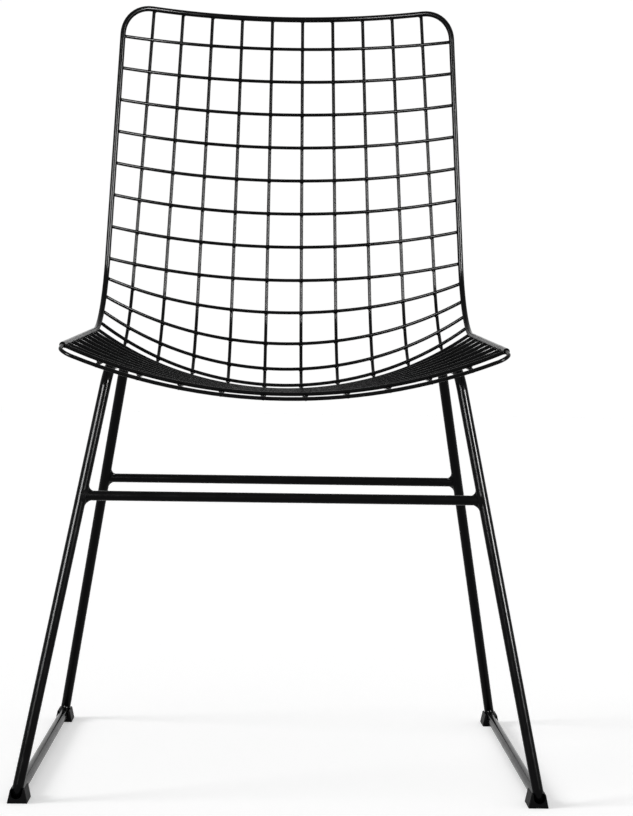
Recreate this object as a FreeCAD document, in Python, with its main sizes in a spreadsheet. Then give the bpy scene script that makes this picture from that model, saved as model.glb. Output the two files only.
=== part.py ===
import FreeCAD, Part
import math
import os

from FreeCAD import Placement, Rotation, Vector

# Wire mesh chair: a bucket of welded wire mesh with a rod rim, carried by two leaning side frames
# of bent rod. X points to the right of someone who faces the chair, -Y is the front, +Z is up.
# The origin is on the floor, under the middle of the chair's bounding box.

# Driving dimensions, in millimetres and degrees: name, value, meaning.
SIZES = [
    ("rim_top_height", 856.9, "floor to the lines of the rim at its top corners"),
    ("top_bar_reach", 476.7, "front edge wire to the top bar, axis to axis"),
    ("mesh_wire_dia", 3.9, "wire of the mesh and of the front edge"),
    ("rim_rod_dia", 6.4, "rod of the rim"),
    ("frame_rod_dia", 11.2, "rod of the side frames"),
    ("stretcher_dia", 10.0, "bars between the legs"),
    ("weld_bite", 0.25, "how far two crossed wires sink into each other, or a wire's two ends"),
    ("top_half_width", 193.0, "middle of the chair to the rim at the top corners"),
    ("knee_half_width", 212.0, "middle to the rim where seat and back meet"),
    ("front_half_width", 219.3, "middle to the rim at the front corners"),
    ("knee_rim_reach", 397.7, "front edge to the rim's corner between seat and back"),
    ("knee_rim_height", 475.0, "floor to that corner"),
    ("front_rim_height", 450.4, "floor to the rim at the front edge"),
    ("top_bow", 49.0, "how far the top bar bows backwards"),
    ("top_dip", 5.9, "how far the middle of the top bar is below its ends"),
    ("knee_bow", 32.8, "how far the mesh bows backwards at the bend"),
    ("knee_dip", 70.4, "how far the mesh hangs below the rim at the bend"),
    ("seat_dip", 43.6, "how far the mesh hangs below the rim at the front"),
    ("rim_bend_radius", 92.6, "bend of the rim between seat and back"),
    ("mesh_bend_radius", 99.7, "bend of the mesh there, in the middle"),
    ("top_corner_radius", 35.0, "rounding of the top corners"),
    ("front_corner_radius", 13.0, "rounding of the front corners"),
    ("top_wire_gap", 36.5, "long wire to long wire at the top"),
    ("knee_wire_gap", 43.2, "long wire to long wire at the bend"),
    ("front_wire_gap", 41.4, "long wire to long wire at the front"),
    ("first_gap_middle", 36.2, "top bar to the first cross wire, in the middle"),
    ("first_gap_rim", 37.5, "top corner to the first cross wire, along the rim"),
    ("back_pitch_middle", 40.3, "cross wire to cross wire on the back, in the middle"),
    ("back_pitch_rim", 37.8, "cross wire to cross wire on the back, along the rim"),
    ("seat_pitch", 39.9, "cross wire to cross wire on the seat"),
    ("nose_pitch", 25.5, "last two cross wires at the front of the seat"),
    ("nose_reach", 27.1, "last cross wire to the front edge wire"),
    ("nose_drop", 4.2, "how far the front edge wire is below the seat's line"),
    ("nose_bend_radius", 30.0, "bend of the long wires at the last cross wire"),
    ("rail_spacing", 517.2, "floor rail to floor rail"),
    ("top_rod_clearance", 1.0, "gap between a side frame's top rod and the outer long wire"),
    ("front_foot_setback", 21.4, "front edge wire to the front corner of the floor rail"),
    ("rail_length", 441.7, "front to rear corner of a floor rail"),
    ("front_leg_rake", 9.02, "lean of the front leg along its frame, in degrees"),
    ("rear_leg_rake", 21.86, "lean of the rear leg along its frame, in degrees"),
    ("foot_bend_radius", 9.0, "bends of a side frame at the floor"),
    ("seat_bend_radius", 25.0, "bends of a side frame under the seat"),
    ("stretcher_height", 301.0, "floor to the bars between the legs"),
    ("weld_leg", 6.0, "size of the fillet welds on the bars"),
    ("glide_sole", 2.1, "plastic under the floor rail"),
    ("glide_length", 30.0, "length of a glide"),
    ("glide_height", 14.0, "height of a glide"),
    ("glide_base_width", 20.5, "width of a glide on the floor"),
    ("glide_top_width", 14.5, "width of a glide at its top"),
    ("glide_overhang", 4.0, "how far a glide stands out past the rail's corner"),
    ("glide_end_wall", 2.5, "wall that closes a glide at the rail's corner"),
    ("glide_lip_height", 4.3, "height of that wall under the bend"),
    ("glide_clearance", 0.15, "gap between a glide and its rod"),
    ("glide_edge_radius", 0.8, "rounding of a glide's outer edges"),
]

BACK_ROWS = 8
BEND_ROWS = 4
SEAT_ROWS = 8
LONG_WIRES = 10
FREE_ROWS = 14
CARRIED_ROWS = 4

# How far a weld's hollow face cuts back its corner, as a share of the weld's size
WELD_HOLLOW = 0.68

# Lengths under this are nothing, in millimetres, and halvings that bring a solved place that close
TINY = 1e-6
HALVINGS = 60

ALONG_X = Vector(1, 0, 0)
ALONG_Y = Vector(0, 1, 0)
UP = Vector(0, 0, 1)

doc = FreeCAD.newDocument("wire_mesh_chair")
sheet = doc.addObject("Spreadsheet::Sheet", "sizes")
for row, (name, value, meaning) in enumerate(SIZES, start=1):
    sheet.set("A%d" % row, meaning)
    sheet.set("B%d" % row, str(value))
    sheet.setAlias("B%d" % row, name)
doc.recompute()


def size(name):
    """A driving dimension from the sheet."""
    return float(sheet.get(name))


def unit(vector):
    """The vector's direction."""
    return vector * (1.0 / vector.Length)


def intersect_level(start, direction, axis_value, axis):
    """The point of a line where one coordinate has the given value."""
    return start + direction * ((axis_value - start[axis]) / direction[axis])


class Route:
    """Centre line of a rod: straight runs and tangent arcs."""

    def __init__(self, start):
        self.start = start
        self.end = start
        self.edges = []

    def line_to(self, end):
        if (end - self.end).Length > TINY:
            self.edges.append(Part.LineSegment(self.end, end).toShape())
            self.end = end

    def arc_to(self, corner, end):
        """An arc that leaves towards the corner and arrives from it, both the same way off."""
        chord = (end - self.end).Length
        sides = (corner - self.end).Length + (end - corner).Length
        weight = chord / sides
        if 1 - weight < TINY:
            self.line_to(end)
            return
        middle = (self.end + corner * (2 * weight) + end) * (1.0 / (2 + 2 * weight))
        self.edges.append(Part.Arc(self.end, middle, end).toShape())
        self.end = end

    def bend(self, corner, beyond, radius):
        """A straight run to a bend at the corner, which turns towards the point beyond."""
        back = unit(self.end - corner)
        ahead = unit(beyond - corner)
        half_angle = math.acos(max(-1.0, min(1.0, back.dot(ahead)))) / 2
        reach = radius / math.tan(half_angle)
        self.line_to(corner + back * reach)
        self.arc_to(corner, corner + ahead * reach)

    def blend_to(self, heading, end, arrival):
        """Two tangent arcs from the heading here to the arrival direction at the end."""
        span = end - self.end
        total = heading + arrival
        spare = 2 * (1 - heading.dot(arrival))
        along = span.dot(total)
        if spare < TINY:
            reach = span.dot(span) / (2 * along)
        else:
            reach = (math.sqrt(along * along + spare * span.dot(span)) - along) / spare
        first = self.end + heading * reach
        second = end - arrival * reach
        self.arc_to(first, (first + second) * 0.5)
        self.arc_to(second, end)

    def wire(self):
        return Part.Wire(self.edges)

    def heading(self):
        """The direction in which the route starts."""
        edge = self.edges[0]
        return unit(edge.tangentAt(edge.FirstParameter))


class Bow:
    """A circular arc across the chair, through two side points and a middle point."""

    def __init__(self, half_width, side, middle):
        drop = middle - side
        sag = drop.Length
        self.drop = unit(drop)
        self.middle = middle
        self.radius = (half_width ** 2 + sag ** 2) / (2 * sag)
        self.half_length = self.radius * math.asin(half_width / self.radius)

    def point(self, along):
        """The point at a distance from the middle, measured along the arc."""
        angle = along / self.radius
        rise = self.radius * (1 - math.cos(angle))
        return self.middle + ALONG_X * (self.radius * math.sin(angle)) - self.drop * rise

    def heading(self, along):
        """The arc's direction there, towards +X."""
        angle = along / self.radius
        return ALONG_X * math.cos(angle) - self.drop * math.sin(angle)


class Profile:
    """A flat line from the top round one bend to the front, with places along its length."""

    def __init__(self, top, knee, front, radius):
        self.top, self.knee, self.front = top, knee, front
        self.down = unit(knee - top)
        self.ahead = unit(front - knee)
        turn = math.acos(self.down.dot(self.ahead))
        reach = radius * math.tan(turn / 2)
        self.radius = radius
        self.bend_start = knee - self.down * reach
        self.bend_end = knee + self.ahead * reach
        self.length_to_bend = (self.bend_start - top).Length
        self.bend_length = radius * turn
        self.side = unit(self.ahead - self.down * self.down.dot(self.ahead))
        self.centre = self.bend_start + self.side * radius

    def at(self, length):
        """The point at a distance from the top."""
        if length <= self.length_to_bend:
            return self.top + self.down * length
        past = length - self.length_to_bend
        if past <= self.bend_length:
            angle = past / self.radius
            arm = self.down * math.sin(angle) - self.side * math.cos(angle)
            return self.centre + arm * self.radius
        return self.bend_end + self.ahead * (past - self.bend_length)

    def length_at_y(self, y_value):
        """The distance from the top to a place on the straight seat part."""
        past = (y_value - self.bend_end.y) / self.ahead.y
        return self.length_to_bend + self.bend_length + past

    def meet(self, point, normal):
        """Where the line crosses a plane, and its direction there."""
        for start, heading, run in (
            (self.top, self.down, self.length_to_bend),
            (self.bend_end, self.ahead, (self.front - self.bend_end).Length),
        ):
            along = (point - start).dot(normal) / heading.dot(normal)
            if -TINY <= along <= run + TINY:
                return start + heading * along, heading
        low, high = 0.0, self.bend_length
        first = (self.at(self.length_to_bend) - point).dot(normal)
        for _ in range(HALVINGS):
            middle = (low + high) / 2
            value = (self.at(self.length_to_bend + middle) - point).dot(normal)
            if value * first > 0:
                low = middle
            else:
                high = middle
        angle = low / self.radius
        heading = self.down * math.cos(angle) + self.side * math.sin(angle)
        return self.at(self.length_to_bend + low), heading

    def shifted(self, at_top, at_front):
        """The same profile moved towards the inside of its bend, by other amounts at its ends."""
        inward_top = self.side
        inward_front = unit(self.down * -1.0 + self.ahead * self.down.dot(self.ahead))
        spread = 1 + inward_top.dot(inward_front)
        knee = self.knee + (inward_top + inward_front) * (at_front / spread)
        top = self.top + inward_top * at_top
        front = self.front + inward_front * at_front
        return Profile(top, knee, front, self.radius - at_front)


# Places that follow from the driving dimensions
wire_radius = size("mesh_wire_dia") / 2
rim_radius = size("rim_rod_dia") / 2
frame_radius = size("frame_rod_dia") / 2
stretcher_radius = size("stretcher_dia") / 2
bite = size("weld_bite")
end_bite = bite / 2
layer_gap = 2 * wire_radius - bite
rail_z = size("glide_sole") + size("glide_clearance") + frame_radius


def mirrored(point):
    """The same place on the chair's other side."""
    return Vector(-point.x, point.y, point.z)


class Shell:
    """The lines that the rim and the mesh follow, set out from the front edge wire."""

    def __init__(self, front_y):
        self.front_y = front_y
        top_middle = Vector(0, front_y + size("top_bar_reach"), size("rim_top_height") - size("top_dip"))
        top_side = top_middle + Vector(0, -size("top_bow"), size("top_dip"))
        knee_side = Vector(0, front_y + size("knee_rim_reach"), size("knee_rim_height"))
        knee_middle = knee_side + Vector(0, size("knee_bow"), -size("knee_dip"))
        front_side = Vector(0, front_y, size("front_rim_height"))
        front_middle = front_side - UP * size("seat_dip")
        nose_drop = UP * size("nose_drop")
        front_width = size("front_half_width")
        self.top_bow = Bow(size("top_half_width"), top_side, top_middle)
        self.knee_bow = Bow(size("knee_half_width"), knee_side, knee_middle)
        self.front_bow = Bow(front_width, front_side, front_middle)
        self.nose_bow = Bow(front_width, front_side - nose_drop, front_middle - nose_drop)
        self.rim = Profile(
            top_side + ALONG_X * size("top_half_width"),
            knee_side + ALONG_X * size("knee_half_width"),
            front_side + ALONG_X * front_width,
            size("rim_bend_radius"),
        )
        self.middle = Profile(top_middle, knee_middle, front_middle, size("mesh_bend_radius"))
        self.long_wires = [self.long_wire(index) for index in range(LONG_WIRES)]

    def long_wire(self, index):
        """The axis of a long wire, which laps the back of the top bar and the cross wires' undersides."""
        place = index - (LONG_WIRES - 1) / 2
        knee = self.knee_bow.point(place * size("knee_wire_gap"))
        share = 1 - (knee.x / size("knee_half_width")) ** 2
        radius = size("rim_bend_radius")
        radius += (size("mesh_bend_radius") - radius) * share
        profile = Profile(
            self.top_bow.point(place * size("top_wire_gap")),
            knee,
            self.front_bow.point(place * size("front_wire_gap")),
            radius,
        )
        return profile.shifted(bite - rim_radius - wire_radius, -layer_gap)

    def back_y(self):
        """The rearmost place of the chair, at the top ends of the middle wires."""
        wire = self.long_wires[LONG_WIRES // 2]
        return wire.top.y + wire_radius * math.hypot(wire.down.x, wire.down.z)


shell = Shell((wire_radius - Shell(0).back_y()) / 2)

pieces = []


def keep(feature, label):
    """Name a finished sub-part."""
    feature.Label = label
    pieces.append(feature)
    return feature


def hide(feature, label):
    """Name a helper that is not a sub-part."""
    feature.Label = label
    return feature


def swept_rod(label, route, diameter_name):
    """A round rod along a centre line, its diameter bound to the sheet."""
    spine = hide(doc.addObject("Part::Feature", label + "_line"), label + " centre line")
    spine.Shape = route.wire()
    ring = hide(doc.addObject("Part::Circle", label + "_section"), label + " section")
    ring.setExpression("Radius", "sizes.%s / 2" % diameter_name)
    ring.Placement = Placement(route.start, Rotation(UP, route.heading()))
    rod = doc.addObject("Part::Sweep", label + "_rod")
    rod.Sections = [ring]
    rod.Spine = spine
    rod.Solid = True
    rod.Frenet = False
    return keep(rod, label)


# Rim rod: up one side, round the top corners, along the bowed top bar and down the other side
def make_rim_rod():
    rim, top_bow = shell.rim, shell.top_bow
    corner_gap = size("top_corner_radius")
    bar_end = top_bow.half_length - corner_gap
    side_top = rim.top + rim.down * corner_gap
    start = rim.front - rim.ahead * size("nose_reach")
    route = Route(mirrored(start))
    route.bend(mirrored(rim.knee), mirrored(rim.top), rim.radius)
    route.line_to(mirrored(side_top))
    rising = unit(mirrored(rim.top) - mirrored(rim.knee))
    route.blend_to(rising, top_bow.point(-bar_end), top_bow.heading(-bar_end))
    bar_edge = Part.Arc(top_bow.point(-bar_end), top_bow.point(0), top_bow.point(bar_end))
    route.edges.append(bar_edge.toShape())
    route.end = top_bow.point(bar_end)
    route.blend_to(top_bow.heading(bar_end), side_top, rim.down)
    route.bend(rim.knee, rim.front, rim.radius)
    route.line_to(start)
    return swept_rod("rim_rod", route, "rim_rod_dia")


# Front edge wire: from one end of the rim rod round the corner, along the front and back again
def make_front_edge_wire():
    rim, bow = shell.rim, shell.nose_bow
    start = rim.front - rim.ahead * (size("nose_reach") + end_bite)
    corner = bow.point(bow.half_length)
    heading = unit(corner - start)
    turn = size("front_corner_radius")
    side_end = corner - heading * turn
    edge_end = bow.half_length - turn
    route = Route(mirrored(start))
    route.line_to(mirrored(side_end))
    route.blend_to(mirrored(heading), bow.point(-edge_end), bow.heading(-edge_end))
    edge = Part.Arc(bow.point(-edge_end), bow.point(0), bow.point(edge_end))
    route.edges.append(edge.toShape())
    route.end = bow.point(edge_end)
    route.blend_to(bow.heading(edge_end), side_end, heading * -1.0)
    route.line_to(start)
    return swept_rod("front_edge_wire", route, "mesh_wire_dia")


# Long wires: from the back of the top bar down the back and under the seat to the front edge wire
def make_long_wire(index, profile):
    place = index - (LONG_WIRES - 1) / 2
    nose = intersect_level(profile.knee, profile.ahead, shell.front_y + size("nose_reach"), 1)
    edge = shell.nose_bow.point(place * size("front_wire_gap"))
    end = edge - unit(edge - nose) * (wire_radius - end_bite)
    route = Route(profile.top)
    route.bend(profile.knee, nose, profile.radius)
    route.bend(nose, end, size("nose_bend_radius"))
    route.line_to(end)
    return swept_rod("long_wire_%02d" % (index + 1), route, "mesh_wire_dia")


# Cross wires: they lie on the long wires, on the sitter's side, and end at the rim rod
def row_places():
    """Rim point and middle point of each cross wire, from the top to the front."""
    rim_lengths = []
    middle_lengths = []
    for row in range(BACK_ROWS):
        rim_lengths.append(size("first_gap_rim") + row * size("back_pitch_rim"))
        middle_lengths.append(size("first_gap_middle") + row * size("back_pitch_middle"))
    last_y = shell.front_y + size("nose_reach")
    seat_y = [last_y + size("nose_pitch") + row * size("seat_pitch") for row in range(SEAT_ROWS)]
    seat_y = seat_y[::-1] + [last_y]
    rim_seat = [shell.rim.length_at_y(y_value) for y_value in seat_y]
    middle_seat = [shell.middle.length_at_y(y_value) for y_value in seat_y]
    for step in range(1, BEND_ROWS + 1):
        share = step / (BEND_ROWS + 1)
        rim_last, middle_last = rim_lengths[BACK_ROWS - 1], middle_lengths[BACK_ROWS - 1]
        rim_lengths.append(rim_last + (rim_seat[0] - rim_last) * share)
        middle_lengths.append(middle_last + (middle_seat[0] - middle_last) * share)
    rim_lengths += rim_seat
    middle_lengths += middle_seat
    rim_points = [shell.rim.at(length) for length in rim_lengths]
    middle_points = [shell.middle.at(length) for length in middle_lengths]
    return list(zip(rim_points, middle_points))


class CrossWire:
    """A cross wire's line in its own plane: a middle arc and a tangent arc on either side."""

    def __init__(self, rim_point, middle_point):
        self.rim_point = rim_point
        self.origin = Vector(0, middle_point.y, middle_point.z)
        self.drop = unit(self.origin - Vector(0, rim_point.y, rim_point.z))
        places = self.seats(shell.long_wires[LONG_WIRES // 2:])
        inner, joint, outer = places[0], places[len(places) // 2], places[-1]
        rise = inner[1] - joint[1]
        height = (joint[0] ** 2 - inner[0] ** 2 + rise ** 2) / (2 * rise)
        self.middle_radius = math.hypot(inner[0], height)
        self.middle_centre = inner[1] - height
        self.joint_x = joint[0]
        across = joint[0] / self.middle_radius
        along = math.sqrt(1 - across ** 2)
        span_x, span_v = outer[0] - joint[0], outer[1] - joint[1]
        towards_centre = -span_x * across - span_v * along
        self.side_radius = (span_x ** 2 + span_v ** 2) / (2 * towards_centre)
        self.side_centre_x = joint[0] - across * self.side_radius
        self.side_centre_v = joint[1] - along * self.side_radius
        self.heading_angle = math.asin(across)

    def seats(self, profiles):
        """Where the wire's axis lies on each long wire of one side, from the middle outwards."""
        normal = ALONG_X.cross(self.drop)
        touches = [profile.meet(self.origin, normal) for profile in profiles]
        first, last = touches[0][0], touches[-1][0]
        steepness = (last - first).dot(self.drop) / (last.x ** 2 - first.x ** 2)
        places = []
        for point, heading in touches:
            run = unit(ALONG_X + self.drop * (2 * steepness * point.x))
            across = unit(run.cross(heading))
            gap = layer_gap / abs(across.dot(self.drop))
            places.append((point.x, (point - self.origin).dot(self.drop) - gap))
        return places

    def point(self, x_value, v_value):
        """A point of the wire's plane."""
        return self.origin + ALONG_X * x_value + self.drop * v_value

    def at(self, x_value):
        """The wire's axis at a distance to the right of the middle, and its direction there."""
        if x_value < self.joint_x:
            centre_x, centre_v, radius = 0, self.middle_centre, self.middle_radius
        else:
            centre_x, centre_v, radius = self.side_centre_x, self.side_centre_v, self.side_radius
        across = (x_value - centre_x) / radius
        along = math.sqrt(1 - across ** 2)
        heading = ALONG_X * along - self.drop * across
        return self.point(x_value, centre_v + along * radius), heading

    def end(self):
        """Where the wire meets the rim rod's inner side."""
        rim_x = self.rim_point.x
        rim_v = (self.rim_point - self.origin).dot(self.drop)
        across, along = rim_x - self.side_centre_x, rim_v - self.side_centre_v
        distance = math.hypot(across, along)
        contact = rim_radius - end_bite
        reach = (distance ** 2 + self.side_radius ** 2 - contact ** 2) / (2 * distance)
        height = math.sqrt(self.side_radius ** 2 - reach ** 2)
        across, along = across / distance, along / distance
        x_value = self.side_centre_x + across * reach - along * height
        v_value = self.side_centre_v + along * reach + across * height
        return self.point(x_value, v_value)

    def route(self):
        end = self.end()
        joint, heading = self.at(self.joint_x)
        span = end - joint
        corner = joint + heading * (span.dot(span) / (2 * span.dot(heading)))
        route = Route(mirrored(end))
        route.arc_to(mirrored(corner), mirrored(joint))
        middle = self.at(0)[0]
        route.edges.append(Part.Arc(mirrored(joint), middle, joint).toShape())
        route.end = joint
        route.arc_to(corner, end)
        return route


# Side frames: closed loops of rod in planes that lean inwards, with the seat on their top rods
class SideFrame:
    """One side frame. The side is 1 on the right and -1 on the left."""

    def __init__(self, side, carried, lean):
        front_rake = math.radians(size("front_leg_rake"))
        rear_rake = math.radians(size("rear_leg_rake"))
        self.side = side
        self.lean = lean
        self.rise = Vector(-side * math.sin(lean), 0, math.cos(lean))
        corner_y = shell.front_y + size("front_foot_setback")
        self.front_foot = Vector(side * size("rail_spacing") / 2, corner_y, rail_z)
        self.rear_foot = self.front_foot + ALONG_Y * size("rail_length")
        self.front_leg = self.rise * math.cos(front_rake) + ALONG_Y * math.sin(front_rake)
        self.rear_leg = self.rise * math.cos(rear_rake) - ALONG_Y * math.sin(rear_rake)
        self.seats = [self.seat_under(wire) for wire in carried]
        front_seat, along = self.seats[-1], unit(self.seats[0] - self.seats[-1])
        self.front_top = self.corner(self.front_foot, self.front_leg, front_seat, along)
        self.rear_top = self.corner(self.rear_foot, self.rear_leg, front_seat, along)

    def seat_under(self, wire):
        """Where the top rod's axis passes under a cross wire."""
        foot = self.front_foot
        x_value = abs(foot.x)
        for _ in range(HALVINGS):
            point, heading = wire.at(x_value)
            climb = (point.z - foot.z) / self.rise.z
            x_value = abs(foot.x) - climb * abs(self.rise.x)
        heading = Vector(heading.x, self.side * heading.y, self.side * heading.z)
        across = unit(heading.cross(ALONG_Y))
        gap = (frame_radius + wire_radius - bite) / abs(across.dot(self.rise))
        return Vector(self.side * point.x, point.y, point.z) - self.rise * gap

    def corner(self, foot, leg, seat, along):
        """Where a leg's axis meets the top rod's axis."""
        offset = seat - foot
        normal = along.cross(leg)
        return foot + leg * (along.cross(offset).dot(normal) / normal.dot(normal))

    def leg_at(self, foot, leg, height):
        """A point of a leg's axis at a height above the floor."""
        return foot + leg * ((height - foot.z) / leg.z)

    def route(self):
        start = (self.front_foot + self.rear_foot) * 0.5
        route = Route(start)
        route.bend(self.rear_foot, self.rear_top, size("foot_bend_radius"))
        route.bend(self.rear_top, self.front_top, size("seat_bend_radius"))
        route.bend(self.front_top, self.front_foot, size("seat_bend_radius"))
        route.bend(self.front_foot, start, size("foot_bend_radius"))
        route.line_to(start)
        return route


def lean_beside_wire(carried):
    """The lean at which the top rods lie just inside the outer long wires, clear of them."""
    outer = shell.long_wires[-1]
    reach = size("rail_spacing") / 2
    wanted = frame_radius + wire_radius + size("top_rod_clearance")
    x_values = outer.knee.x, outer.front.x
    z_values = outer.knee.z, outer.front.z
    low = math.atan2(reach - max(x_values), max(z_values) - rail_z)
    high = math.atan2(reach, min(z_values) - rail_z)
    for _ in range(HALVINGS):
        lean = (low + high) / 2
        seats = SideFrame(1, carried, lean).seats
        if min((seat - outer.knee).cross(outer.ahead).Length for seat in seats) < wanted:
            low = lean
        else:
            high = lean
    return high


def boolean(kind, name, base, tool):
    """A cut or a fuse of two shapes."""
    feature = doc.addObject(kind, name)
    feature.Base = base
    feature.Tool = tool
    return feature


def leg_cylinder(name, foot, leg):
    """The straight part of a leg, to shape what is welded to it."""
    cylinder = hide(doc.addObject("Part::Cylinder", name), name + " shape")
    cylinder.setExpression("Radius", "sizes.frame_rod_dia / 2")
    cylinder.setExpression("Height", "sizes.rim_top_height")
    cylinder.Placement = Placement(foot, Rotation(UP, leg))
    return cylinder


# Stretchers: round bars between the legs, their ends shaped to the legs, with fillet welds
def make_stretcher(place, left_leg, right_leg):
    left_foot, left_heading = left_leg
    right_foot, right_heading = right_leg
    start = frames[-1].leg_at(left_foot, left_heading, size("stretcher_height"))
    name = place + "_stretcher"
    bar = hide(doc.addObject("Part::Cylinder", name + "_bar"), name + " bar")
    bar.setExpression("Radius", "sizes.stretcher_dia / 2")
    bar.Height = 2 * abs(start.x)
    bar.Placement = Placement(start, Rotation(UP, ALONG_X))
    left = leg_cylinder(name + "_left_leg", left_foot, left_heading)
    right = leg_cylinder(name + "_right_leg", right_foot, right_heading)
    once = boolean("Part::Cut", name + "_left_end", bar, left)
    twice = boolean("Part::Cut", name + "_right_end", once, right)
    keep(twice, name)
    doc.recompute()
    bead = weld_bead(start, left_heading)
    beads = [
        bead.cut([left.Shape, bar.Shape]),
        bead.mirror(Vector(0, 0, 0), ALONG_X).cut([right.Shape, bar.Shape]),
    ]
    welds = doc.addObject("Part::Feature", name + "_beads")
    welds.Shape = Part.makeCompound([solid for bead in beads for solid in bead.Solids])
    keep(welds, name + "_welds")


def weld_bead(point, leg):
    """A hollow fillet round the left end of a bar, before leg and bar are cut out of it."""
    weld = size("weld_leg")
    reach = frame_radius + weld
    outer = stretcher_radius + weld
    toe = stretcher_radius - bite
    hollow = Part.Arc(
        Vector(frame_radius, 0, outer),
        Vector(reach - weld * WELD_HOLLOW, 0, outer - weld * WELD_HOLLOW),
        Vector(reach, 0, toe),
    )
    corners = [
        Vector(reach, 0, toe),
        Vector(reach, 0, 0),
        Vector(0, 0, 0),
        Vector(0, 0, outer),
        Vector(frame_radius, 0, outer),
    ]
    sides = [Part.LineSegment(a, b).toShape() for a, b in zip(corners, corners[1:])]
    outline = Part.Wire([hollow.toShape()] + sides)
    bead = Part.Face(outline).revolve(Vector(0, 0, 0), ALONG_X, 360)
    along_leg = FreeCAD.Matrix()
    along_leg.A13 = leg.x / leg.z
    along_leg.A22 = (frame_radius + bite) / outer
    along_leg.A23 = leg.y / leg.z
    bead = bead.transformGeometry(along_leg)
    bead.translate(point)
    return bead


# Glides: plastic clips under the corners of the floor rails, open above and towards the rail
def make_glide(name, frame, end):
    """The end is 1 at the rear and -1 at the front."""
    foot = frame.rear_foot if end > 0 else frame.front_foot
    wall_y = foot.y + end * size("glide_overhang")
    rear_y = wall_y if end > 0 else wall_y + size("glide_length")
    lean = -frame.side * math.degrees(frame.lean)
    shift = (size("glide_height") - rail_z) * frame.rise.x / frame.rise.z
    block = hide(doc.addObject("Part::Wedge", name + "_block"), name + " block")
    for prop, expression in (
        ("Xmin", "-sizes.glide_base_width / 2"),
        ("Xmax", "sizes.glide_base_width / 2"),
        ("X2min", "-sizes.glide_top_width / 2"),
        ("X2max", "sizes.glide_top_width / 2"),
        ("Ymin", "0"),
        ("Ymax", "sizes.glide_height"),
        ("Zmin", "0"),
        ("Zmax", "sizes.glide_length"),
        ("Z2min", "0"),
        ("Z2max", "sizes.glide_length"),
    ):
        block.setExpression(prop, expression)
    block.Placement = Placement(Vector(foot.x + shift, rear_y, 0), Rotation(ALONG_X, 90))
    doc.recompute()
    rounded = hide(doc.addObject("Part::Fillet", name + "_rounded"), name + " rounded block")
    rounded.Base = block
    radius = size("glide_edge_radius")
    rounded.Edges = [(number, radius, radius) for number in range(1, len(block.Shape.Edges) + 1)]
    inner_y = wall_y - end * size("glide_end_wall")
    trough_y = inner_y - max(end, 0) * 2 * size("glide_length")
    trough = glide_slot(name + "_trough", foot, lean, 0, trough_y)
    lip = size("glide_lip_height") - size("glide_sole")
    notch = glide_slot(name + "_notch", foot, lean, lip, rear_y - 1.5 * size("glide_length"))
    cut = boolean("Part::Cut", name + "_cut", rounded, trough)
    keep(boolean("Part::Cut", name + "_clip", cut, notch), name)


def glide_slot(name, foot, lean, raised, start_y):
    """A round-bottomed slot along the rail, open above and leaning with the frame."""
    radius = "(sizes.frame_rod_dia / 2 + sizes.glide_clearance)"
    bore = hide(doc.addObject("Part::Cylinder", name + "_bore"), name + " bore")
    bore.setExpression("Radius", radius)
    bore.setExpression("Height", "2 * sizes.glide_length")
    turn = Rotation(ALONG_Y, lean)
    axis = Vector(foot.x, start_y, foot.z) + UP * raised
    bore.Placement = Placement(axis, Rotation(ALONG_X, -90))
    slot = hide(doc.addObject("Part::Box", name + "_slot"), name + " slot")
    slot.setExpression("Length", "2 * " + radius)
    slot.setExpression("Width", "2 * sizes.glide_length")
    slot.setExpression("Height", "2 * sizes.glide_height")
    half_width = turn.multVec(ALONG_X) * (frame_radius + size("glide_clearance"))
    slot.Placement = Placement(axis - half_width, turn)
    return boolean("Part::Fuse", name, bore, slot)


make_rim_rod()
make_front_edge_wire()
for index, profile in enumerate(shell.long_wires):
    make_long_wire(index, profile)
wires = [CrossWire(rim_point, middle_point) for rim_point, middle_point in row_places()]
for number, wire in enumerate(wires, start=1):
    swept_rod("cross_wire_%02d" % number, wire.route(), "mesh_wire_dia")

carried = wires[FREE_ROWS:FREE_ROWS + CARRIED_ROWS]
lean = lean_beside_wire(carried)
frames = {side: SideFrame(side, carried, lean) for side in (-1, 1)}
swept_rod("left_side_frame", frames[-1].route(), "frame_rod_dia")
swept_rod("right_side_frame", frames[1].route(), "frame_rod_dia")
for place in ("front", "rear"):
    legs = []
    for side in (-1, 1):
        frame = frames[side]
        if place == "front":
            legs.append((frame.front_foot, frame.front_leg))
        else:
            legs.append((frame.rear_foot, frame.rear_leg))
    make_stretcher(place, *legs)
for end, place in ((-1, "front"), (1, "rear")):
    for side, hand in ((-1, "left"), (1, "right")):
        make_glide("%s_%s_glide" % (place, hand), frames[side], end)

doc.recompute()
for feature in doc.Objects:
    if "Invalid" in feature.State or "Error" in feature.State:
        raise RuntimeError("not built: " + feature.Label)
for piece in pieces:
    if piece.Shape.isNull() or not piece.Shape.isValid():
        raise RuntimeError("no valid shape: " + piece.Label)

os.makedirs("parts", exist_ok=True)
for piece in pieces:
    piece.Shape.exportStep("parts/%s.step" % piece.Label)
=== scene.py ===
"""Looks of the wire mesh chair: powder-coated rod and wire, spot welds, glides and studio."""

import math

import bmesh
import bpy
from bpy.props import FloatProperty, FloatVectorProperty, PointerProperty
from bpy.types import Operator, Panel, PropertyGroup
from mathutils import Matrix, Vector
from mathutils.bvhtree import BVHTree


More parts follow.
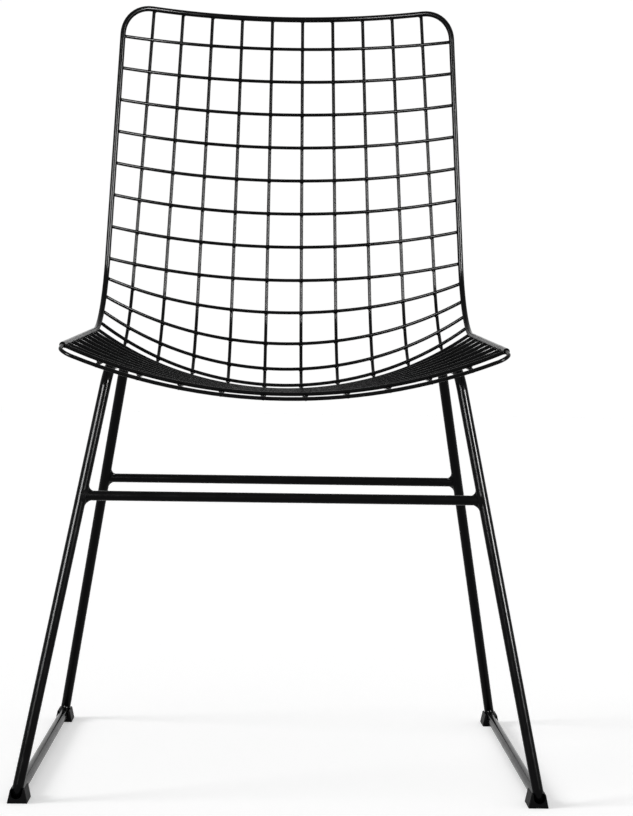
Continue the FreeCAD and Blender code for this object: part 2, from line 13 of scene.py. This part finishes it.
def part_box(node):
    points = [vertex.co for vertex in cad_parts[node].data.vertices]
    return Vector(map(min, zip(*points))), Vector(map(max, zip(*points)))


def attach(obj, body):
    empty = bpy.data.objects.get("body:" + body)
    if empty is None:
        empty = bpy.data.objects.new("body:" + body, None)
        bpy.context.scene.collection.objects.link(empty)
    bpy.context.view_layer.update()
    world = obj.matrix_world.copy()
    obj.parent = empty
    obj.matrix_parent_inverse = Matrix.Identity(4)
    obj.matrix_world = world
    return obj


bl_info = {
    "name": "Wire Mesh Chair",
    "version": (1, 0, 0),
    "blender": (4, 5, 0),
    "location": "3D View > Sidebar > Chair",
    "description": "Finishes, weld spots and studio for a chair of welded wire mesh",
    "category": "Object",
}

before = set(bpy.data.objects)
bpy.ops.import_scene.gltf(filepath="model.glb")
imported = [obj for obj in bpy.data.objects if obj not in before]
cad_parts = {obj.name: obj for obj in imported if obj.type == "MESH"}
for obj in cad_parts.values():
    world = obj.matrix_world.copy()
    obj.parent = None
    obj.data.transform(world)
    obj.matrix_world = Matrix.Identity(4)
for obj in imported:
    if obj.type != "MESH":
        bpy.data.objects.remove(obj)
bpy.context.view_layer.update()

MM = 0.001

# How near to a cross wire a side frame counts, and how far from a wire's end its axis is looked up
NEAR = 15 * MM
LAP = 3 * MM
END_STEP = 1.5 * MM

# Spots of squeezed steel: their sides, and their thickness at crossings, wire ends and side frames
SPOT_SIDES = 12
SPOT_ROUNDING = 0.45
CROSSING_THICKNESS = 1.7 * MM
END_THICKNESS = 1.5 * MM
SEAT_THICKNESS = 2.4 * MM

# Powder coat: depth of its orange peel, width of its clouds, and how they change sheen and tone
ROD_PEEL_DEPTH = 0.015 * MM
WIRE_PEEL_DEPTH = 0.008 * MM
CLOUD_SIZE = 25 * MM
SHEEN_STEPS = (-0.05, 0.06)
TONE_STEPS = (0.8, 1.25)

# Glides: grain of the spark-eroded mould
GRAIN_SIZE = 0.5 * MM
GRAIN_DEPTH = 0.05 * MM

# The white room is mirrored in every surface, so reflections are weak and the softboxes strong
COAT_REFLECTION = 0.045
GLIDE_REFLECTION = 0.02
GLIDE_ROUGHNESS = 0.45

# Just over 1, so that the background is white without a doubt
WHITE = 1.01

CROSS_WIRES = sorted(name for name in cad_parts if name.startswith("cross_wire_"))
LONG_WIRES = sorted(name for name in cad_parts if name.startswith("long_wire_"))
MESH_NODES = CROSS_WIRES + LONG_WIRES + ["front_edge_wire"]
GLIDE_NODES = sorted(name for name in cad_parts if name.endswith("_glide"))
FRAME_NODES = sorted(set(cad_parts) - set(MESH_NODES) - set(GLIDE_NODES))
SIDE_FRAMES = ["left_side_frame", "right_side_frame"]

# The side frames carry the cross wires after these
FREE_ROWS, CARRIED_ROWS = 14, 4

# The photograph's frame and the camera that was fitted to it
PHOTO_WIDTH, PHOTO_HEIGHT = 633, 816
FOCAL_LENGTH_PX = 1930.4
SENSOR_MM = 36.0
CAMERA_X, CAMERA_Z = -10.8 * MM, 447.8 * MM
CAMERA_STANDOFF = 1874.1 * MM
CAMERA_YAW = 0.0224
CAMERA_PITCH = 0.0285
CAMERA_ROLL = 0.0148

# Lamps. An azimuth is 0 behind the camera and 90 at its right.
# Suns: azimuth, elevation and spread in degrees, and strength
SUNS = {
    "key_light": (-76, 28, 22, 1.7),
    "top_light": (30, 70, 50, 0.2),
}
# Softboxes: azimuth in degrees, width in metres and radiance
SOFTBOXES = {
    "left_softbox": (-33, 0.9, 120),
    "right_softbox": (44, 0.5, 260),
}
SOFTBOX_DISTANCE = 2.2
SOFTBOX_MIDDLE = 1.0
SOFTBOX_HEIGHT = 0.8


def linear(hex_colour):
    """A colour written as sRGB hex, in the linear values that shaders use."""
    channels = [int(hex_colour[i:i + 2], 16) / 255 for i in (0, 2, 4)]
    return tuple(c / 12.92 if c <= 0.04045 else ((c + 0.055) / 1.055) ** 2.4 for c in channels)


class ChairFinish(PropertyGroup):
    """Colours and sizes of the finishes."""

    coat_colour: FloatVectorProperty(
        name="Powder coat",
        description="Colour of the coating on all steel",
        subtype="COLOR",
        size=3,
        min=0,
        max=1,
        default=linear("080809"),
    )
    coat_roughness: FloatProperty(
        name="Coat roughness",
        description="0 is a mirror, 1 is chalk; smooth powder coat is about 0.2",
        min=0,
        max=1,
        default=0.19,
    )
    glide_colour: FloatVectorProperty(
        name="Glides",
        description="Colour of the moulded floor glides",
        subtype="COLOR",
        size=3,
        min=0,
        max=1,
        default=linear("080809"),
    )
    peel_size: FloatProperty(
        name="Orange peel",
        description="Width of the shallow waves in the coating",
        subtype="DISTANCE",
        unit="LENGTH",
        default=1.6 * MM,
    )
    crossing_weld: FloatProperty(
        name="Crossing weld",
        description="Width of the squeezed spot between two crossed mesh wires",
        subtype="DISTANCE",
        unit="LENGTH",
        default=5.8 * MM,
    )
    end_weld: FloatProperty(
        name="End weld",
        description="Width of the collar where a mesh wire ends on another wire or on the rim",
        subtype="DISTANCE",
        unit="LENGTH",
        default=4.7 * MM,
    )
    frame_weld: FloatProperty(
        name="Seat weld",
        description="Width of the weld between a cross wire and the side frame that carries it",
        subtype="DISTANCE",
        unit="LENGTH",
        default=8.5 * MM,
    )


class ChairStage(PropertyGroup):
    """Floor and light of the studio."""

    floor_colour: FloatVectorProperty(
        name="Floor",
        description="Colour of the floor",
        subtype="COLOR",
        size=3,
        min=0,
        max=1,
        default=linear("e8e8e8"),
    )
    floor_width: FloatProperty(
        name="Floor width",
        description="Side of the square floor",
        subtype="DISTANCE",
        unit="LENGTH",
        default=24.0,
    )
    sky_light: FloatProperty(
        name="Ambient light",
        description="Even light from all round",
        min=0,
        default=0.5,
    )


def add_node(tree, kind, settings=None, links=None):
    """Add a shader node, set its properties or input values and link its inputs."""
    node = tree.nodes.new(kind)
    for name, value in (settings or {}).items():
        if name in node.inputs:
            node.inputs[name].default_value = value
        else:
            setattr(node, name, value)
    for name, source in (links or {}).items():
        tree.links.new(source, node.inputs[name])
    return node


def new_material(name):
    """An empty node material with its output."""
    material = bpy.data.materials.new(name)
    material.use_nodes = True
    material.node_tree.nodes.clear()
    return material, material.node_tree


def dress(nodes, material):
    """Give CAD nodes a material in place of their own."""
    for name in nodes:
        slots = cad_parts[name].material_slots
        for slot in slots:
            slot.material = material
        if not slots:
            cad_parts[name].data.materials.append(material)


def surface(name):
    """A search tree of a CAD node's surface."""
    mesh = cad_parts[name].data
    corners = [vertex.co for vertex in mesh.vertices]
    return BVHTree.FromPolygons(corners, [face.vertices for face in mesh.polygons])


def axis_point(name, place, normal, near=None):
    """The middle of a rod where a plane cuts it; if a surface is given, only near that."""
    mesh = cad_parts[name].data
    sides = [(vertex.co - place).dot(normal) for vertex in mesh.vertices]
    ring = []
    for edge in mesh.edges:
        first, last = edge.vertices
        if sides[first] * sides[last] < 0:
            share = sides[first] / (sides[first] - sides[last])
            point = mesh.vertices[first].co.lerp(mesh.vertices[last].co, share)
            if near is None or near.find_nearest(point, NEAR)[0] is not None:
                ring.append(point)
    corners = [[pick(point[axis] for point in ring) for axis in range(3)] for pick in (min, max)]
    return (Vector(corners[0]) + Vector(corners[1])) / 2


def wire_plane(name):
    """A point and the normal of the plane in which a cross wire is bent."""
    places = [vertex.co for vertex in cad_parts[name].data.vertices]
    middle = sum(places, Vector()) / len(places)
    yy = sum((place.y - middle.y) ** 2 for place in places)
    zz = sum((place.z - middle.z) ** 2 for place in places)
    yz = sum((place.y - middle.y) * (place.z - middle.z) for place in places)
    turn = math.atan2(2 * yz, yy - zz) / 2
    return middle, Vector((0, -math.sin(turn), math.cos(turn)))


def weld_place(axis, tree):
    """Where a rod's axis point is nearest to another rod's surface, and the way there."""
    contact = tree.find_nearest(axis)[0]
    return contact, (contact - axis).normalized()


def weld_disc(width, thickness):
    """One spot of squeezed-out steel: a disc round the Z axis with a rounded rim."""
    bpy.ops.object.select_all(action="DESELECT")
    bpy.ops.mesh.primitive_cylinder_add(vertices=SPOT_SIDES, radius=width / 2, depth=thickness)
    disc = bpy.context.object
    bpy.ops.object.mode_set(mode="EDIT")
    bpy.ops.mesh.select_mode(type="EDGE")
    bpy.ops.mesh.select_all(action="DESELECT")
    shape = bmesh.from_edit_mesh(disc.data)
    for edge in shape.edges:
        edge.select_set(abs(edge.verts[0].co.z - edge.verts[1].co.z) < thickness / 2)
    bmesh.update_edit_mesh(disc.data)
    bpy.ops.mesh.bevel(offset=thickness * SPOT_ROUNDING, segments=2, affect="EDGES")
    bpy.ops.object.mode_set(mode="OBJECT")
    bpy.ops.object.shade_smooth()
    return disc


def weld_spots(name, disc, places, material_name):
    """Copy a weld disc to each place, facing the way there, and join the copies to one piece."""
    bpy.ops.object.select_all(action="DESELECT")
    for place, way in places:
        spot = disc.copy()
        spot.data = disc.data.copy()
        bpy.context.collection.objects.link(spot)
        turn = way.to_track_quat("Z", "Y").to_matrix().to_4x4()
        spot.matrix_world = Matrix.Translation(place) @ turn
        spot.select_set(True)
    bpy.context.view_layer.objects.active = spot
    bpy.ops.object.join()
    bpy.ops.object.transform_apply(location=True, rotation=True, scale=True)
    welds = bpy.context.object
    welds.name = name
    welds.data.materials.append(bpy.data.materials[material_name])
    bpy.data.objects.remove(disc)
    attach(welds, "root")


def powder_coat(name, finish, peel_depth):
    """Black polyester powder coat on steel: sprayed dry and melted in an oven.

    It gives narrow pale highlights, slightly broken by orange peel, on a nearly black ground.
    """
    material, tree = new_material(name)
    place = add_node(tree, "ShaderNodeTexCoord").outputs["Object"]
    peel = add_node(
        tree,
        "ShaderNodeTexNoise",
        {"Scale": 1 / finish.peel_size, "Detail": 2.0, "Roughness": 0.45},
        {"Vector": place},
    )
    cloud = add_node(
        tree,
        "ShaderNodeTexNoise",
        {"Scale": 1 / CLOUD_SIZE, "Detail": 3.0, "Roughness": 0.6},
        {"Vector": place},
    )
    sheen = add_node(
        tree,
        "ShaderNodeMapRange",
        {
            "From Min": 0.3,
            "From Max": 0.7,
            "To Min": finish.coat_roughness + SHEEN_STEPS[0],
            "To Max": finish.coat_roughness + SHEEN_STEPS[1],
        },
        {"Value": cloud.outputs["Fac"]},
    )
    tone = add_node(
        tree,
        "ShaderNodeMix",
        {"data_type": "RGBA"},
        {"Factor": cloud.outputs["Fac"]},
    )
    for side, step in zip("AB", TONE_STEPS):
        tone.inputs[side].default_value = (*[c * step for c in finish.coat_colour], 1)
    bump = add_node(
        tree,
        "ShaderNodeBump",
        {"Strength": 1.0, "Distance": peel_depth},
        {"Height": peel.outputs["Fac"]},
    )
    shader = add_node(
        tree,
        "ShaderNodeBsdfPrincipled",
        {"Specular IOR Level": COAT_REFLECTION},
        {
            "Base Color": tone.outputs["Result"],
            "Roughness": sheen.outputs["Result"],
            "Normal": bump.outputs["Normal"],
        },
    )
    add_node(tree, "ShaderNodeOutputMaterial", links={"Surface": shader.outputs["BSDF"]})
    return material


def moulded_plastic(name, finish):
    """Black polyamide, injection moulded in a spark-eroded tool: dull, with a fine even grain."""
    material, tree = new_material(name)
    place = add_node(tree, "ShaderNodeTexCoord").outputs["Object"]
    grain = add_node(
        tree,
        "ShaderNodeTexNoise",
        {"Scale": 1 / GRAIN_SIZE, "Detail": 4.0, "Roughness": 0.6},
        {"Vector": place},
    )
    bump = add_node(
        tree,
        "ShaderNodeBump",
        {"Strength": 1.0, "Distance": GRAIN_DEPTH},
        {"Height": grain.outputs["Fac"]},
    )
    shader = add_node(
        tree,
        "ShaderNodeBsdfPrincipled",
        {
            "Base Color": (*finish.glide_colour, 1),
            "Roughness": GLIDE_ROUGHNESS,
            "Specular IOR Level": GLIDE_REFLECTION,
        },
        {"Normal": bump.outputs["Normal"]},
    )
    add_node(tree, "ShaderNodeOutputMaterial", links={"Surface": shader.outputs["BSDF"]})
    return material


class CHAIR_OT_coat_frame(Operator):
    """Powder coat the rim rod, the side frames, the stretchers and their welds"""

    bl_idname = "chair.coat_frame"
    bl_label = "Coat frame"

    def execute(self, context):
        finish = context.scene.chair_finish
        dress(FRAME_NODES, powder_coat("powder_coated_rod", finish, ROD_PEEL_DEPTH))
        return {"FINISHED"}


class CHAIR_OT_coat_mesh(Operator):
    """Powder coat the wires of the seat and back"""

    bl_idname = "chair.coat_mesh"
    bl_label = "Coat mesh"

    def execute(self, context):
        finish = context.scene.chair_finish
        dress(MESH_NODES, powder_coat("powder_coated_wire", finish, WIRE_PEEL_DEPTH))
        return {"FINISHED"}


class CHAIR_OT_weld_crossings(Operator):
    """Add the squeezed spots where the long wires cross the cross wires and the top bar"""

    bl_idname = "chair.weld_crossings"
    bl_label = "Weld crossings"

    def execute(self, context):
        places = []
        for cross_wire in CROSS_WIRES:
            tree = surface(cross_wire)
            middle, normal = wire_plane(cross_wire)
            for long_wire in LONG_WIRES:
                places.append(weld_place(axis_point(long_wire, middle, normal), tree))
        tree = surface("rim_rod")
        for long_wire in LONG_WIRES:
            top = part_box(long_wire)[1]
            axis = axis_point(long_wire, top - Vector((0, 0, LAP)), Vector((0, 0, 1)))
            places.append(weld_place(axis, tree))
        disc = weld_disc(context.scene.chair_finish.crossing_weld, CROSSING_THICKNESS)
        weld_spots("crossing_welds", disc, places, "powder_coated_wire")
        return {"FINISHED"}


class CHAIR_OT_weld_ends(Operator):
    """Add the collars where mesh wires end on the rim rod and on the front edge wire"""

    bl_idname = "chair.weld_ends"
    bl_label = "Weld wire ends"

    def execute(self, context):
        places = []
        tree = surface("rim_rod")
        for cross_wire in CROSS_WIRES:
            for end, side in zip(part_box(cross_wire), (1, -1)):
                inside = Vector((end.x + side * END_STEP, 0, 0))
                axis = axis_point(cross_wire, inside, Vector((1, 0, 0)))
                places.append(weld_place(axis, tree))
        tree = surface("front_edge_wire")
        for long_wire in LONG_WIRES:
            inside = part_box(long_wire)[0] + Vector((0, END_STEP, 0))
            axis = axis_point(long_wire, inside, Vector((0, 1, 0)))
            places.append(weld_place(axis, tree))
        disc = weld_disc(context.scene.chair_finish.end_weld, END_THICKNESS)
        weld_spots("wire_end_welds", disc, places, "powder_coated_wire")
        return {"FINISHED"}


class CHAIR_OT_weld_seat(Operator):
    """Add the welds between the carried cross wires and the side frames"""

    bl_idname = "chair.weld_seat"
    bl_label = "Weld seat"

    def execute(self, context):
        places = []
        for cross_wire in CROSS_WIRES[FREE_ROWS:FREE_ROWS + CARRIED_ROWS]:
            tree = surface(cross_wire)
            middle, normal = wire_plane(cross_wire)
            for side_frame in SIDE_FRAMES:
                places.append(weld_place(axis_point(side_frame, middle, normal, tree), tree))
        disc = weld_disc(context.scene.chair_finish.frame_weld, SEAT_THICKNESS)
        weld_spots("seat_welds", disc, places, "powder_coated_rod")
        return {"FINISHED"}


class CHAIR_OT_mould_glides(Operator):
    """Give the floor glides their moulded plastic"""

    bl_idname = "chair.mould_glides"
    bl_label = "Mould glides"

    def execute(self, context):
        dress(GLIDE_NODES, moulded_plastic("moulded_polyamide", context.scene.chair_finish))
        return {"FINISHED"}


def seen_or_mirrored(tree):
    """1 where the camera sees a surface directly, in a reflection or through glass, and else 0."""
    path = add_node(tree, "ShaderNodeLightPath")
    either = path.outputs["Is Camera Ray"]
    for ray in ("Is Glossy Ray", "Is Transmission Ray"):
        highest = add_node(tree, "ShaderNodeMath", {"operation": "MAXIMUM"})
        tree.links.new(either, highest.inputs[0])
        tree.links.new(path.outputs[ray], highest.inputs[1])
        either = highest.outputs[0]
    return either


def stage_floor(stage, light_on_floor):
    """A white paper floor: seen directly or in a reflection, it is as white as the background."""
    bpy.ops.mesh.primitive_plane_add(size=stage.floor_width, location=(0, 0, 0))
    floor = bpy.context.object
    floor.name = "studio_floor"
    material, tree = new_material("white_paper")
    level = add_node(tree, "ShaderNodeMath", {"operation": "MULTIPLY"})
    tree.links.new(seen_or_mirrored(tree), level.inputs[0])
    level.inputs[1].default_value = WHITE - light_on_floor * stage.floor_colour[0]
    paper = add_node(tree, "ShaderNodeBsdfDiffuse", {"Color": (*stage.floor_colour, 1)})
    glow = add_node(tree, "ShaderNodeEmission", links={"Strength": level.outputs[0]})
    both = add_node(tree, "ShaderNodeAddShader")
    tree.links.new(paper.outputs[0], both.inputs[0])
    tree.links.new(glow.outputs[0], both.inputs[1])
    add_node(tree, "ShaderNodeOutputMaterial", links={"Surface": both.outputs[0]})
    floor.data.materials.append(material)


def stage_world(stage):
    """Even ambient light, and a plain white background behind the floor."""
    world = bpy.data.worlds.new("studio_white")
    bpy.context.scene.world = world
    world.use_nodes = True
    tree = world.node_tree
    tree.nodes.clear()
    ambient = add_node(
        tree, "ShaderNodeBackground", {"Color": (1, 1, 1, 1), "Strength": stage.sky_light}
    )
    white = add_node(tree, "ShaderNodeBackground", {"Color": (1, 1, 1, 1), "Strength": WHITE})
    mix = add_node(tree, "ShaderNodeMixShader", links={"Fac": seen_or_mirrored(tree)})
    tree.links.new(ambient.outputs[0], mix.inputs[1])
    tree.links.new(white.outputs[0], mix.inputs[2])
    add_node(tree, "ShaderNodeOutputWorld", links={"Surface": mix.outputs[0]})


def direction(azimuth, elevation):
    """The way from the chair to a lamp."""
    turn = math.radians(azimuth)
    rise = math.radians(elevation)
    level = math.cos(rise)
    return Vector((math.sin(turn) * level, -math.cos(turn) * level, math.sin(rise)))


def soft_sun(name, azimuth, elevation, spread, strength):
    """A far lamp that only lights the floor and casts the shadows. Gives its light on the floor."""
    towards = direction(azimuth, elevation)
    bpy.ops.object.light_add(type="SUN", location=towards * 3)
    lamp = bpy.context.object
    lamp.name = name
    lamp.rotation_euler = towards.to_track_quat("Z", "Y").to_euler()
    lamp.data.angle = math.radians(spread)
    lamp.data.energy = strength
    lamp.visible_glossy = False
    return strength * towards.z / math.pi


def strip_softbox(name, azimuth, width, radiance):
    """A tall lamp that only shows as a streak on glossy rods: the floor is lit by the suns."""
    place = direction(azimuth, 0) * SOFTBOX_DISTANCE + Vector((0, 0, SOFTBOX_MIDDLE))
    bpy.ops.object.light_add(type="AREA", location=place)
    lamp = bpy.context.object
    lamp.name = name
    lamp.rotation_euler = direction(azimuth, 0).to_track_quat("Z", "Y").to_euler()
    lamp.data.shape = "RECTANGLE"
    lamp.data.size = width
    lamp.data.size_y = SOFTBOX_HEIGHT
    lamp.data.energy = radiance * math.pi * width * SOFTBOX_HEIGHT
    lamp.visible_diffuse = False
    lamp.visible_camera = False


def stage_camera():
    """The photograph's view."""
    turn = Matrix.Rotation(-CAMERA_YAW, 3, "Z")
    turn = turn @ Matrix.Rotation(math.pi / 2 - CAMERA_PITCH, 3, "X")
    turn = turn @ Matrix.Rotation(CAMERA_ROLL, 3, "Z")
    place = Vector((CAMERA_X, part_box("front_edge_wire")[0].y - CAMERA_STANDOFF, CAMERA_Z))
    bpy.ops.object.camera_add(location=place, rotation=turn.to_euler())
    camera = bpy.context.object
    camera.data.sensor_fit = "AUTO"
    camera.data.sensor_width = SENSOR_MM
    camera.data.lens = FOCAL_LENGTH_PX / max(PHOTO_WIDTH, PHOTO_HEIGHT) * SENSOR_MM
    camera.data.dof.use_dof = False
    bpy.context.scene.camera = camera


class CHAIR_OT_set_stage(Operator):
    """Set up the white floor, the background, the lights and the camera"""

    bl_idname = "chair.set_stage"
    bl_label = "Set stage"

    def execute(self, context):
        stage = context.scene.chair_stage
        light_on_floor = stage.sky_light
        for name, settings in SUNS.items():
            light_on_floor += soft_sun(name, *settings)
        for name, settings in SOFTBOXES.items():
            strip_softbox(name, *settings)
        stage_world(stage)
        stage_floor(stage, light_on_floor)
        stage_camera()
        context.scene.view_settings.view_transform = "Standard"
        return {"FINISHED"}


OPERATORS = [
    CHAIR_OT_coat_frame,
    CHAIR_OT_coat_mesh,
    CHAIR_OT_weld_crossings,
    CHAIR_OT_weld_ends,
    CHAIR_OT_weld_seat,
    CHAIR_OT_mould_glides,
    CHAIR_OT_set_stage,
]


class CHAIR_PT_panel(Panel):
    """The chair's steps, in their order"""

    bl_idname = "CHAIR_PT_panel"
    bl_label = "Wire Mesh Chair"
    bl_space_type = "VIEW_3D"
    bl_region_type = "UI"
    bl_category = "Chair"

    def draw(self, context):
        for group in (context.scene.chair_finish, context.scene.chair_stage):
            for name in group.bl_rna.properties.keys():
                if name not in ("rna_type", "name"):
                    self.layout.prop(group, name)
        for operator in OPERATORS:
            self.layout.operator(operator.bl_idname)


CLASSES = [ChairFinish, ChairStage, *OPERATORS, CHAIR_PT_panel]


def register():
    for cls in CLASSES:
        bpy.utils.register_class(cls)
    bpy.types.Scene.chair_finish = PointerProperty(type=ChairFinish)
    bpy.types.Scene.chair_stage = PointerProperty(type=ChairStage)


def unregister():
    del bpy.types.Scene.chair_stage
    del bpy.types.Scene.chair_finish
    for cls in reversed(CLASSES):
        bpy.utils.unregister_class(cls)


def main():
    register()
    bpy.ops.object.select_all(action="DESELECT")
    for operator in OPERATORS:
        group, name = operator.bl_idname.split(".")
        getattr(getattr(bpy.ops, group), name)()


if __name__ == "__main__":
    main()
